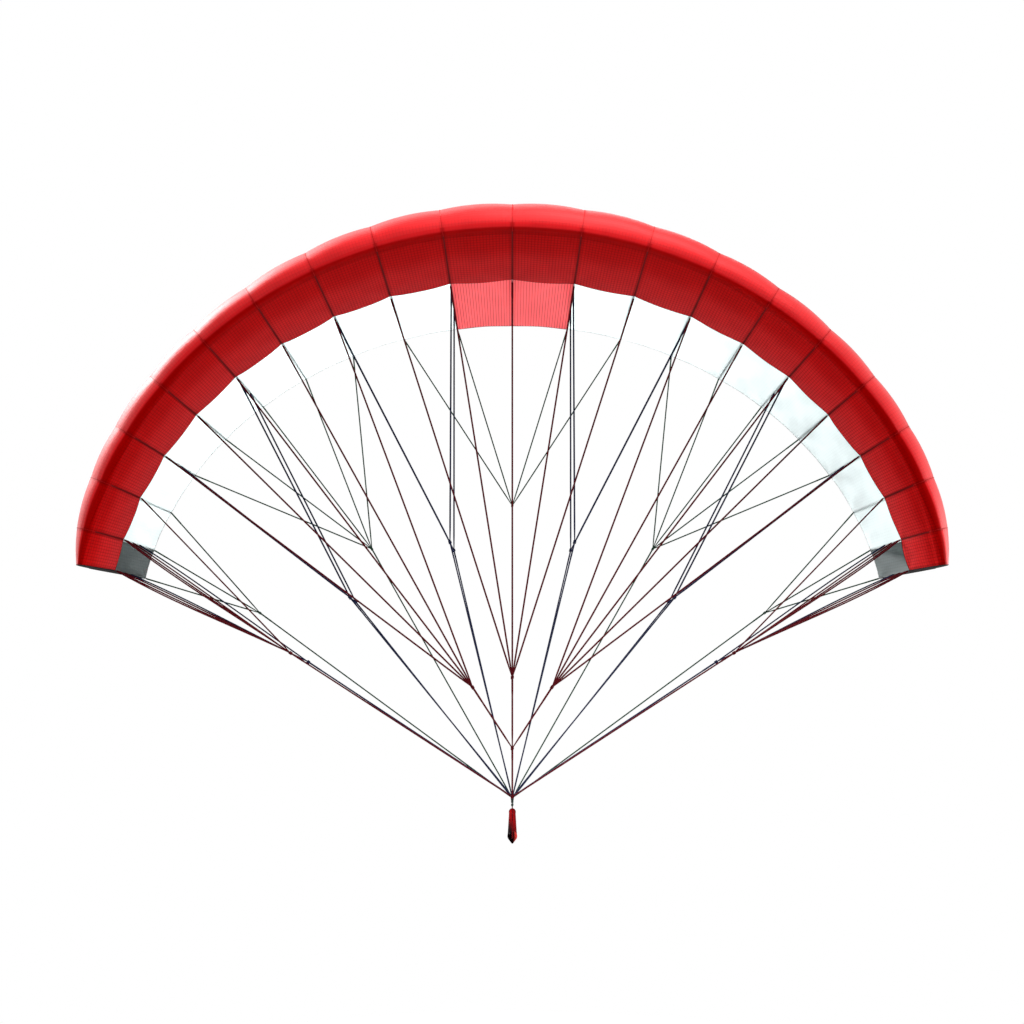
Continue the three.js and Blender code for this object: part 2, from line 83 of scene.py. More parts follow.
# Section of the skin from the scalloped hem round the nose to the trailing edge: shares of the chord aft and
# up, and how far the cloth stands out in mid cell as a share of the cell's width
SECTION = (
    ("scalloped hem", 0.267, -0.0907, 0.046),
    ("lower skin, rear", 0.18, -0.07, 0.04),
    ("lower skin, middle", 0.095, -0.044, 0.03),
    ("lower skin, front", 0.045, -0.025, 0.016),
    ("chin crease", 0.016, -0.0175, 0.004),
    ("lip", -0.004, -0.012, 0.008),
    ("nose", -0.014, 0.01, 0.014),
    ("upper nose", -0.006, 0.042, 0.018),
    ("brow", 0.02, 0.073, 0.02),
    ("forehead", 0.06, 0.101, 0.022),
    ("shoulder", 0.115, 0.125, 0.022),
    ("rise", 0.2, 0.145, 0.022),
    ("top seam", 0.33, 0.15, 0.02),
    ("crown", 0.46, 0.136, 0.018),
    ("middle", 0.6, 0.108, 0.016),
    ("rear", 0.74, 0.074, 0.014),
    ("tail", 0.87, 0.038, 0.012),
    ("trailing edge", 1.0, 0.0, 0.01),
)
PLACES = [row[0] for row in SECTION]
SECTION_AFT, SECTION_UP, SECTION_BILLOW = np.array([row[1:] for row in SECTION]).T

# Cloth: thickness, grids, puckers beside the ribs, folds at the ties, and hems
CLOTH = 0.0008
SEAM_GAP = 0.0004
CELL_COLUMNS = 20
NOSE_ROWS = 72
AFT_ROWS = 44
PUCKER_HEIGHT = 0.0008
PUCKER_REACH = 0.012
PUCKER_PITCH = 0.031
SEAM_HOLD = 0.004
FOLD_HEIGHT = 0.0018
FOLD_REACH = 0.05
FOLDS_AT_A_TIE = 5
HEM_RADIUS = 0.0012
HEM_SIDES = 6
WAVES_SEED = 7
SHARP_ANGLE = 50.0
TINY = 1e-6

# Aft sheets: name, first and last rib, finish
AFT_SHEETS = (
    ("aft_tip_l", -10, -9, "grey_cloth"),
    ("aft_white_l", -9, -1, "white_cloth"),
    ("aft_centre", -1, 1, "light_red_cloth"),
    ("aft_white_r", 1, 9, "white_cloth"),
    ("aft_tip_r", 9, 10, "grey_cloth"),
)

# Ribs and the ties on their free edge: shares of the chord aft and up, and the ribs that have the tie
RIB_INSET = 0.0006
RIB_TAIL_AFT = 0.955
RIB_TAIL_HEIGHT = 0.008
RIB_COLUMNS = 90
RIB_ROWS = 10
RIB_LOWER_STEPS = 60
RIB_UPPER_STEPS = 160
FAR_FROM_SEAM = 0.5
FREE_EDGE_LIFT = 0.55
TAB_TIP_WIDTH = 0.005
HEM_AFT = SECTION_AFT[0]
BOTH_SIDES = range(-TIP_RIB, TIP_RIB + 1)
EVERY_RIB = tuple(range(TIP_RIB + 1))
ODD_RIBS_AND_TIP = (1, 3, 5, 7, 9, 10)
OUTER_RIBS = (9, 10)
TIES = {
    "a": (0.276, -0.0985, EVERY_RIB),
    "b": (0.345, -0.087, ODD_RIBS_AND_TIP),
    "outer": (0.47, -0.071, OUTER_RIBS),
    "c": (0.63, -0.05, ODD_RIBS_AND_TIP),
    "brake": (0.994, -0.002, EVERY_RIB[1:]),
}
TAB_ORDER = ("a", "b", "outer", "c")

# Lines and their sewn sleeves. The strands of a tip bundle bow up or down in the wind, and the B lines' tip
# joint lies a little above that of the A lines
LINE_RADIUS = 0.0031
BRAKE_LINE_RADIUS = 0.0026
TIP_LINE_SHARE = 0.85
TIP_MAIN_SHARE = 0.88
TIP_BOWS = {"a": -0.0085, "b": -0.003, "outer": 0.0025, "c": 0.0065}
TIP_LIFTS = {"lines_a": 0.0, "lines_b": 0.009}
BOW_STEPS = 16
LINE_SIDES = 8
SLEEVE_SWELL = 1.15
SLEEVE_LENGTH = 0.055
SLEEVE_SHARE = 0.2
SLEEVE_TAPER = 0.012
JOINT_SHARE = 0.6
LINE_END_GAP = 0.0015
FOOT_SPREAD = 0.0065
FRONT_MEETING = np.array((0.0, -0.240, 0.107))
REAR_MEETING = np.array((0.0, 0.235, 0.065))
# Trees: where their feet meet, the foot's shift aft, radius, share of it for the main runs, and finish
TREES = {
    "lines_a": (FRONT_MEETING, -FOOT_SPREAD, LINE_RADIUS, 1.0, "red_line"),
    "lines_b": (FRONT_MEETING, FOOT_SPREAD, LINE_RADIUS, 0.8, "blue_line"),
    "lines_c": (REAR_MEETING, -FOOT_SPREAD, LINE_RADIUS, 0.8, "blue_line"),
    "lines_brake": (REAR_MEETING, FOOT_SPREAD, BRAKE_LINE_RADIUS, 1.0, "green_line"),
}
# Joints of each tree: name, parent, whether made on both sides, share of the way to the middle of its ties,
# lean to mid span, whether lines run from it to those ties, and the ribs of each tie
JOINTS = {
    "lines_a": (
        ("low", "foot", False, 0.102, 0.0, False, {"a": range(-7, 8)}),
        ("centre", "low", False, 0.146, 0.0, True, {"a": range(-2, 3)}),
        ("inner", "low", True, 0.157, 0.018, True, {"a": range(3, 8)}),
        ("tip", "foot", True, 0.559, 0.005, True, {"a": (8, 9, 10), "b": OUTER_RIBS, "outer": OUTER_RIBS}),
    ),
    "lines_b": (
        ("inner", "foot", True, 0.497, -0.003, True, {"b": (1, 3)}),
        ("outer", "foot", True, 0.506, 0.002, True, {"b": (5, 7)}),
        ("tip", "foot", True, 0.532, 0.0235, True, {"c": OUTER_RIBS}),
    ),
    "lines_c": (
        ("inner", "foot", True, 0.509, 0.0025, True, {"c": (1, 3)}),
        ("outer", "foot", True, 0.522, 0.0055, True, {"c": (5, 7)}),
    ),
    "lines_brake": (
        ("centre", "foot", False, 0.604, 0.0, True, {"brake": (-2, -1, 1, 2)}),
        ("inner", "foot", True, 0.621, 0.0635, True, {"brake": range(3, 8)}),
        ("tip", "foot", True, 0.725, 0.0375, True, {"brake": (8, 9, 10)}),
    ),
}


# Curves and places

# Factors that bring share * (1 - share) and share ** 2 * (1 - share) to 1 at their highest
ARC_PEAK = 4
BOW_PEAK = 27 / 4


def spline(knots, values, at):
    """A smooth curve through values at knots, read at other places."""
    gaps = np.diff(knots)
    slopes = np.diff(values) / gaps
    count = len(knots)
    matrix = np.eye(count)
    right = np.zeros(count)
    for i in range(1, count - 1):
        matrix[i, i - 1:i + 2] = gaps[i - 1], 2 * (gaps[i - 1] + gaps[i]), gaps[i]
        right[i] = 6 * (slopes[i] - slopes[i - 1])
    bend = np.linalg.solve(matrix, right)
    k = np.clip(np.searchsorted(knots, at) - 1, 0, count - 2)
    gone = at - knots[k]
    gap = gaps[k]
    start_slope = slopes[k] - gap * (2 * bend[k] + bend[k + 1]) / 6
    square = gone ** 2 * bend[k] / 2
    cube = gone ** 3 * (bend[k + 1] - bend[k]) / (6 * gap)
    return values[k] + gone * start_slope + square + cube


SECTION_RUN = np.concatenate(([0.0], np.cumsum(np.hypot(np.diff(SECTION_AFT), np.diff(SECTION_UP)))))
RUN_AT = dict(zip(PLACES, SECTION_RUN))
ARCH_TABLE = np.linspace(0.0, HALF_ARCH, ARCH_STEPS + 1)


def arch_angle(station):
    """Lean of the section at a station from upright, in radians."""
    share = station / HALF_ARCH
    return ARCH_TIP_ANGLE * ((1 - ARCH_TIGHTENING) * share + ARCH_TIGHTENING * share ** 3)


def summed(slopes):
    """Running sum of slopes along the arch table."""
    middles = (slopes[1:] + slopes[:-1]) / 2
    return np.concatenate(([0.0], np.cumsum(middles * np.diff(ARCH_TABLE))))


ARCH_OUT = summed(np.cos(arch_angle(ARCH_TABLE)))
ARCH_DROP = summed(np.sin(arch_angle(ARCH_TABLE)))


class Section:
    """The section at a station along the arch: its nose point, chord, fullness and directions."""

    def __init__(self, station):
        reach = abs(station)
        share = reach / HALF_ARCH
        self.nose = ARCH_TOP + (
            math.copysign(np.interp(reach, ARCH_TABLE, ARCH_OUT), station),
            SWEEP_SQUARE * share ** 2 + SWEEP_FOURTH * share ** 4,
            -np.interp(reach, ARCH_TABLE, ARCH_DROP),
        )
        self.chord = ROOT_CHORD * (1 - CHORD_LOSS_SQUARE * share ** 2 - CHORD_LOSS_FOURTH * share ** 4)
        self.fullness = np.interp(reach, RIB_STATIONS, RIB_FULLNESS)
        incidence = ROOT_INCIDENCE + TIP_INCIDENCE_RISE * share ** 2
        angle = arch_angle(station)
        outward = np.array((math.sin(angle), 0.0, math.cos(angle)))
        back = np.array((0.0, 1.0, 0.0))
        self.aft = back * math.cos(incidence) - outward * math.sin(incidence)
        self.up = back * math.sin(incidence) + outward * math.cos(incidence)
        self.across = np.cross(self.aft, self.up)

    def skin(self, run):
        """Aft, up, billow and outward direction of the skin at places along the section's run."""
        aft = spline(SECTION_RUN, SECTION_AFT, run) * self.chord
        up = spline(SECTION_RUN, SECTION_UP, run) * self.chord
        up = np.where(up > 0, up * self.fullness, up)
        billow = spline(SECTION_RUN, SECTION_BILLOW, run)
        along = unit(np.stack((np.gradient(aft), np.gradient(up)), 1))
        return aft, up, billow, np.stack((-along[:, 1], along[:, 0]), 1)

    def point(self, aft, up, across=0.0):
        """Points of the section, from metres aft of and above its nose point."""
        aft, up, across = np.broadcast_arrays(aft, up, across)
        return (self.nose + aft[..., None] * self.aft + up[..., None] * self.up
                + across[..., None] * self.across)


def off_skin(aft, up, outward, lift):
    """Aft and up of places that stand out from the skin."""
    return aft + outward[:, 0] * lift, up + outward[:, 1] * lift


def station_of(rib):
    return math.copysign(RIB_STATIONS[abs(rib)], rib) if rib else 0.0


def side_label(index):
    """l03, c or r03: the side and number of a signed rib or cell."""
    if index == 0:
        return "c"
    return f"{'l' if index < 0 else 'r'}{abs(index):02d}"


def tie_point(tie, rib):
    aft, up, _ = TIES[tie]
    section = Section(station_of(rib))
    return section.point(aft * section.chord, up * section.chord)


# Meshes

def new_object(name, data):
    made = bpy.data.objects.new(name, data)
    bpy.context.scene.collection.objects.link(made)
    return made


def smooth(mesh, sharp_angle):
    """Smooth shading, with sharp edges above an angle in degrees."""
    mesh.polygons.foreach_set("use_smooth", [True] * len(mesh.polygons))
    mesh.set_sharp_from_angle(angle=math.radians(sharp_angle))


class Parts:
    """Collects points, faces, material numbers and two sets of UVs for one mesh."""

    def __init__(self):
        self.points = []
        self.faces = []
        self.slots = []
        self.cloth_uv = []
        self.place_uv = []
        self.count = 0

    def add(self, points, faces, slot=0, cloth_uv=None, place_uv=None):
        points = np.asarray(points, float).reshape(-1, 3)
        self.points.append(points)
        for kept, uv in ((self.cloth_uv, cloth_uv), (self.place_uv, place_uv)):
            kept.append(np.zeros((len(points), 2)) if uv is None else np.asarray(uv, float).reshape(-1, 2))
        self.faces += [tuple(int(i) + self.count for i in face) for face in faces]
        self.slots += np.broadcast_to(slot, len(faces)).tolist()
        self.count += len(points)

    def build(self, name, finishes, sharp_angle=SHARP_ANGLE):
        """The collected mesh as an object of the scene, with its materials by name."""
        mesh = bpy.data.meshes.new(name)
        mesh.from_pydata(np.concatenate(self.points).tolist(), [], self.faces)
        for finish in finishes:
            mesh.materials.append(MATERIALS[finish])
        mesh.polygons.foreach_set("material_index", self.slots)
        corners = np.zeros(len(mesh.loops), np.int32)
        mesh.loops.foreach_get("vertex_index", corners)
        for layer_name, per_point in (("cloth", self.cloth_uv), ("place", self.place_uv)):
            layer = mesh.uv_layers.new(name=layer_name)
            layer.data.foreach_set("uv", np.concatenate(per_point)[corners].ravel())
        smooth(mesh, sharp_angle)
        mesh.validate()
        return new_object(name, mesh)


def grid_faces(columns, rows, first=0, flip=False):
    """Four-sided faces over a grid of points that is stored column by column."""
    c, r = np.meshgrid(np.arange(columns - 1), np.arange(rows - 1), indexing="ij")
    corner = first + c * rows + r
    faces = np.stack((corner, corner + rows, corner + rows + 1, corner + 1), -1).reshape(-1, 4)
    return faces[:, ::-1] if flip else faces


def sheet_faces(columns, rows):
    """Faces of a closed thin sheet: its inner grid, its outer grid and the rim between them."""
    outer = columns * rows
    faces = [*grid_faces(columns, rows, flip=True), *grid_faces(columns, rows, outer)]
    rim = [c * rows for c in range(columns)]
    rim += [(columns - 1) * rows + r for r in range(1, rows)]
    rim += [c * rows + rows - 1 for c in range(columns - 2, -1, -1)]
    rim += list(range(rows - 2, 0, -1))
    for i, a in enumerate(rim):
        b = rim[(i + 1) % len(rim)]
        faces.append((a, b, b + outer, a + outer))
    return faces


def unit(vectors):
    return vectors / np.linalg.norm(vectors, axis=-1, keepdims=True)


def run_along(line):
    """Metres along a line of points, at each point."""
    return np.concatenate(([0.0], np.cumsum(np.linalg.norm(np.diff(line, axis=0), axis=1))))


def square_to(along):
    """Two directions square to a direction, or to each one of a row, and to one another."""
    helper = np.eye(3)[np.argmin(np.abs(np.atleast_2d(along)).mean(0))]
    first = unit(np.cross(along, helper))
    return first, np.cross(along, first)


def tube(parts, line, radii, sides, slot=0):
    """A closed round tube along a line of points, with one radius or a radius at each point."""
    line = np.asarray(line, float)
    radii = np.broadcast_to(radii, len(line))
    first, second = square_to(unit(np.gradient(line, axis=0)))
    turn = np.linspace(0, 2 * math.pi, sides, endpoint=False)
    ring = np.cos(turn)[None, :, None] * first[:, None] + np.sin(turn)[None, :, None] * second[:, None]
    points = line[:, None] + ring * radii[:, None, None]
    uv = np.stack(np.broadcast_arrays(run_along(line)[:, None], turn[None] / (2 * math.pi)), -1)
    faces = []
    for i in range(len(line) - 1):
        for j in range(sides):
            k = (j + 1) % sides
            faces.append((i * sides + j, i * sides + k, (i + 1) * sides + k, (i + 1) * sides + j))
    faces.append(tuple(range(sides - 1, -1, -1)))
    last = (len(line) - 1) * sides
    faces.append(tuple(range(last, last + sides)))
    parts.add(points, faces, slot, uv)


# Materials

class Graph:
    """One material's nodes, added and linked by short calls."""

    def __init__(self, name):
        self.material = bpy.data.materials.new(name)
        self.material.use_nodes = True
        self.tree = self.material.node_tree
        self.tree.nodes.clear()

    def add(self, kind, inputs=None, **settings):
        node = self.tree.nodes.new(kind)
        for key, value in settings.items():
            setattr(node, key, value)
        for key, value in (inputs or {}).items():
            if isinstance(value, bpy.types.NodeSocket):
                self.tree.links.new(value, node.inputs[key])
            else:
                node.inputs[key].default_value = value
        return node

    def math(self, operation, a, b=0.0):
        return self.add("ShaderNodeMath", {0: a, 1: b}, operation=operation).outputs[0]

    def step(self, value, low, high, to_low=0.0, to_high=1.0):
        """A soft step of value from low to high."""
        inputs = {"Value": value, "From Min": low, "From Max": high, "To Min": to_low, "To Max": to_high}
        return self.add("ShaderNodeMapRange", inputs, interpolation_type="SMOOTHSTEP").outputs[0]

    def uv(self, layer):
        found = self.add("ShaderNodeUVMap", uv_map=layer).outputs[0]
        parted = self.add("ShaderNodeSeparateXYZ", {0: found})
        return found, parted.outputs[0], parted.outputs[1]

    def mix(self, share, a, b, blend="MIX"):
        """Two colours mixed. They are sockets 6 and 7 of the node, and the mix is its third output."""
        inputs = {0: share, 6: a, 7: b}
        return self.add("ShaderNodeMix", inputs, data_type="RGBA", blend_type=blend).outputs[2]

    def grey(self, tone):
        return self.add("ShaderNodeCombineColor", {0: tone, 1: tone, 2: tone}).outputs[0]

    def noise(self, vector, scale, detail=2.0):
        inputs = {"Vector": vector, "Scale": scale, "Detail": detail}
        return self.add("ShaderNodeTexNoise", inputs).outputs[0]

    def clouds(self, vector, scale, low, high, detail=2.0):
        """Soft clouds of values from low to high."""
        return self.step(self.noise(vector, scale, detail), *CLOUD_SPAN, low, high)

    def bump(self, height, distance, strength=1.0):
        inputs = {"Height": height, "Distance": distance, "Strength": strength}
        return self.add("ShaderNodeBump", inputs).outputs[0]

    def surface(self, colour, roughness, gloss, normal, more=None):
        inputs = {"Base Color": colour, "Roughness": roughness, "Specular IOR Level": gloss, "Normal": normal}
        return self.add("ShaderNodeBsdfPrincipled", inputs | (more or {})).outputs[0]

    def finish(self, shader):
        self.add("ShaderNodeOutputMaterial", {"Surface": shader})
        return self.material


def rgb(red, green, blue):
    """A colour from screen values of 0 to 255, by the usual curve of screens."""
    def linear(value):
        value /= 255
        return value / 12.92 if value <= 0.04045 else ((value + 0.055) / 1.055) ** 2.4
    return (linear(red), linear(green), linear(blue), 1.0)


# Cloth: its thicker threads, the doubled cloth and painted shade beside the ribs, faint clouds of tone and
# its gloss
CLOUD_SPAN = (0.3, 0.7)
FINE_DETAIL = 3.0
RIPSTOP_PITCH = 0.0118
THREAD_SHARE = 0.2
THREAD_HEIGHT = 0.00025
SEAM_HALF_WIDTH = 0.003
SEAM_SHADE_SOFTNESS = 0.009
CLOTH_CLOUDS = 9.0
CLOTH_TONES = (0.95, 1.04)
CLOTH_ROUGHNESS = 0.5
SHEEN_ROUGHNESS = 0.35
WHITE_SHINE = (1.0, 1.0, 1.0, 1.0)
RED_SHINE = (1.0, 0.25, 0.27, 1.0)


def ripstop_threads(g, way):
    """1 on the thicker threads of the weave, which cross one way at an even pitch."""
    share = g.math("FRACT", g.math("DIVIDE", way, RIPSTOP_PITCH))
    away = g.math("ABSOLUTE", g.math("SUBTRACT", share, 0.5))
    return g.step(away, 0.5 - THREAD_SHARE, 0.5)


def colour_along(g, place, stops):
    """A colour that changes along a place from 0 to 1, from (place, colour) stops."""
    ramp = g.add("ShaderNodeValToRGB", {"Fac": place})
    ramp.color_ramp.interpolation = "EASE"
    elements = ramp.color_ramp.elements
    while len(elements) < len(stops):
        elements.new(0.5)
    for element, (at, colour) in zip(elements, stops):
        element.position = at
        element.color = colour
    return ramp.outputs[0]


def plain(red, green, blue):
    """One colour all along a cloth."""
    return ((0.0, rgb(red, green, blue)),)


def cloth_material(name, colours, glow, passing, warp=0.9, weft=0.9, seam=0.8, sheen=0.0, gloss=0.3,
                   shine=WHITE_SHINE, fade=None):
    """Thin ripstop cloth. colours are (place along, colour) stops, glow its colour with light behind it, and
    passing the share of light that comes through. warp, weft and seam are tones of the thicker threads each
    way and of the cloth beside the ribs, which is doubled there and carries painted shade where the billowed
    cells dip to the seams. fade is where along the cloth the threads fade, and their strength before and
    after it."""
    g = Graph(name)
    cloth, across, along = g.uv("cloth")
    _, from_rib, place = g.uv("place")
    warp_threads = ripstop_threads(g, across)
    weft_threads = ripstop_threads(g, along)
    if fade:
        strength = g.step(place, *fade)
        warp_threads = g.math("MULTIPLY", warp_threads, strength)
        weft_threads = g.math("MULTIPLY", weft_threads, strength)
    tone = g.clouds(cloth, CLOTH_CLOUDS, *CLOTH_TONES, FINE_DETAIL)
    tone = g.math("MULTIPLY", tone, g.step(warp_threads, 0.0, 1.0, 1.0, warp))
    tone = g.math("MULTIPLY", tone, g.step(weft_threads, 0.0, 1.0, 1.0, weft))
    # Darker beside the ribs: partly the doubled cloth of the seam, partly painted shade where the billowed
    # cells dip to it
    doubled_seam_and_painted_shade = g.step(from_rib, SEAM_HALF_WIDTH, SEAM_HALF_WIDTH + SEAM_SHADE_SOFTNESS, seam, 1.0)
    grey = g.grey(g.math("MULTIPLY", tone, doubled_seam_and_painted_shade))
    dye = colours[0][1] if len(colours) == 1 else colour_along(g, place, colours)
    face = g.mix(1.0, dye, grey, "MULTIPLY")
    lit = g.mix(1.0, glow, grey, "MULTIPLY")
    normal = g.bump(g.math("MAXIMUM", warp_threads, weft_threads), THREAD_HEIGHT)
    more = {"Sheen Weight": sheen, "Sheen Roughness": SHEEN_ROUGHNESS, "Specular Tint": shine}
    shader = g.surface(face, CLOTH_ROUGHNESS, gloss, normal, more)
    through = g.add("ShaderNodeBsdfTranslucent", {"Color": lit, "Normal": normal}).outputs[0]
    mixed = g.add("ShaderNodeMixShader", {0: passing, 1: shader, 2: through}).outputs[0]
    return g.finish(mixed)


# Tape: stitches as shares of their pitch and of the tape's width, its fine rib, clouds of tone and gloss
STITCH_PITCH = 0.0052
EDGE_STITCH_PITCH = 0.016
STITCH_END = (0.62, 0.7)
STITCH_ROW = 0.27
STITCH_SIDE = (0.06, 0.1)
TAPE_RIB_PITCH = 0.0013
TAPE_RIB_SHARE = 0.15
TAPE_RELIEF = 0.0003
TAPE_CLOUDS = 30.0
TAPE_TONES = (0.9, 1.08)
TAPE_ROUGHNESS = 0.6
TAPE_GLOSS = 0.1


def tape_material(name, colour, thread_colour, stitch_pitch=STITCH_PITCH):
    """Sewn tape with a fine rib and two rows of stitches. Its UVs are metres along and share across."""
    g = Graph(name)
    uv, along, across = g.uv("cloth")
    stitch = g.step(g.math("FRACT", g.math("DIVIDE", along, stitch_pitch)), *STITCH_END, 1.0, 0.0)
    from_middle = g.math("ABSOLUTE", g.math("SUBTRACT", across, 0.5))
    from_row = g.math("ABSOLUTE", g.math("SUBTRACT", from_middle, STITCH_ROW))
    sewn = g.math("MULTIPLY", stitch, g.step(from_row, *STITCH_SIDE, 1.0, 0.0))
    rib = g.math("SINE", g.math("MULTIPLY", along, 2 * math.pi / TAPE_RIB_PITCH))
    grey = g.grey(g.clouds(uv, TAPE_CLOUDS, *TAPE_TONES))
    face = g.mix(sewn, g.mix(1.0, colour, grey, "MULTIPLY"), thread_colour)
    height = g.math("ADD", g.math("MULTIPLY", rib, TAPE_RIB_SHARE), sewn)
    return g.finish(g.surface(face, TAPE_ROUGHNESS, TAPE_GLOSS, g.bump(height, TAPE_RELIEF)))


# Braid: the pitch of its strands, how many lie side by side, where their fleck starts, relief and gloss
BRAID_PITCH = 0.004
BRAID_STARTS = 2
FLECK_SPAN = (-0.2, 1.0)
BRAID_RELIEF = 0.0003
BRAID_ROUGHNESS = 0.7
BRAID_GLOSS = 0.05


def braid_material(name, colour, fleck):
    """Braided line: crossing strands from UVs of metres along and share around."""
    g = Graph(name)
    _, along, around = g.uv("cloth")
    run = g.math("MULTIPLY", along, 2 * math.pi / BRAID_PITCH)
    turn = g.math("MULTIPLY", around, 2 * math.pi * BRAID_STARTS)
    one_way = g.math("SINE", g.math("ADD", run, turn))
    other_way = g.math("SINE", g.math("SUBTRACT", run, turn))
    strands = g.math("MAXIMUM", one_way, other_way)
    face = g.mix(g.step(strands, *FLECK_SPAN), colour, fleck)
    return g.finish(g.surface(face, BRAID_ROUGHNESS, BRAID_GLOSS, g.bump(strands, BRAID_RELIEF)))


# Foam: how fast its painted shade turns across the bar against along it, wear and pores
SHADE_SLANT = 12.0
WEAR_SCALE = 22.0
WEAR_SHIFT = 0.02
PORE_SCALE = 900.0
PORE_DEPTH = 0.0002
PORE_STRENGTH = 0.05


def painted_shade_foam_material(name, colours, reach, roughness, gloss):
    """Smooth red foam or moulded plastic with fine pores and wear, and painted shade: dark low on the front
    left and its full colour at the rear right. colours are those at the front left and at the rear right, and
    reach is the stretch along the bar's middle where one turns into the other."""
    g = Graph(name)
    place = g.add("ShaderNodeTexCoord").outputs["Object"]
    across, along, _ = g.add("ShaderNodeSeparateXYZ", {0: place}).outputs
    # Painted shade: the tone turns along a slant across the bar, dark low on the front left and full at the
    # rear right
    shade_slant = g.math("ADD", along, g.math("MULTIPLY", across, SHADE_SLANT))
    worn = g.clouds(place, WEAR_SCALE, -WEAR_SHIFT, WEAR_SHIFT, FINE_DETAIL)
    face = g.mix(g.step(g.math("ADD", shade_slant, worn), *reach), *colours)
    pores = g.bump(g.noise(place, PORE_SCALE), PORE_DEPTH, PORE_STRENGTH)
    return g.finish(g.surface(face, roughness, gloss, pores, {"Specular Tint": RED_SHINE}))


# Places along a panel from its hem to its top seam, where its colour changes. A dark band of painted shade
# lies over the chin, between the crease and the lip, and rises towards the tips; the weave fades under it
NOSE_END = RUN_AT["top seam"]
CREASE_AT = RUN_AT["chin crease"] / NOSE_END
LIP_AT = RUN_AT["lip"] / NOSE_END
SHADE_BAND_EDGE = LIP_AT - 0.004
SHADE_BAND_TOP = LIP_AT + 0.009
SHADE_BAND_RISE = 0.08
SHADE_BAND_FROM = CREASE_AT - 0.03
SHADE_BAND_WEAVE = 0.25
CHIN_PAINTED_SHADE_RED = rgb(177, 0, 0)
NOSE_FRONT_PAINTED_LIGHT_RED = rgb(236, 36, 40)
RED_GLOW = rgb(170, 3, 4)
# The lower skin is painted darker towards the crease, painted shade, and lighter and pinker towards the hem,
# a painted haze of light
LOWER_SKIN_COLOURS = (
    (0.0, rgb(220, 50, 52)),
    (0.14, rgb(218, 38, 40)),
    (CREASE_AT - 0.1, rgb(203, 17, 18)),
    (SHADE_BAND_FROM, rgb(198, 11, 12)),
    (CREASE_AT - 0.015, CHIN_PAINTED_SHADE_RED),
    (SHADE_BAND_EDGE, CHIN_PAINTED_SHADE_RED),
    (SHADE_BAND_TOP, NOSE_FRONT_PAINTED_LIGHT_RED),
)
# Over the nose front, from the band up to the brow, the red is painted lighter and pinker than on the top
# behind it: painted light
NOSE_COLOURS = (
    (SHADE_BAND_EDGE, CHIN_PAINTED_SHADE_RED),
    (SHADE_BAND_TOP, NOSE_FRONT_PAINTED_LIGHT_RED),
    (0.53, rgb(228, 26, 30)),
    (0.62, rgb(206, 6, 10)),
)

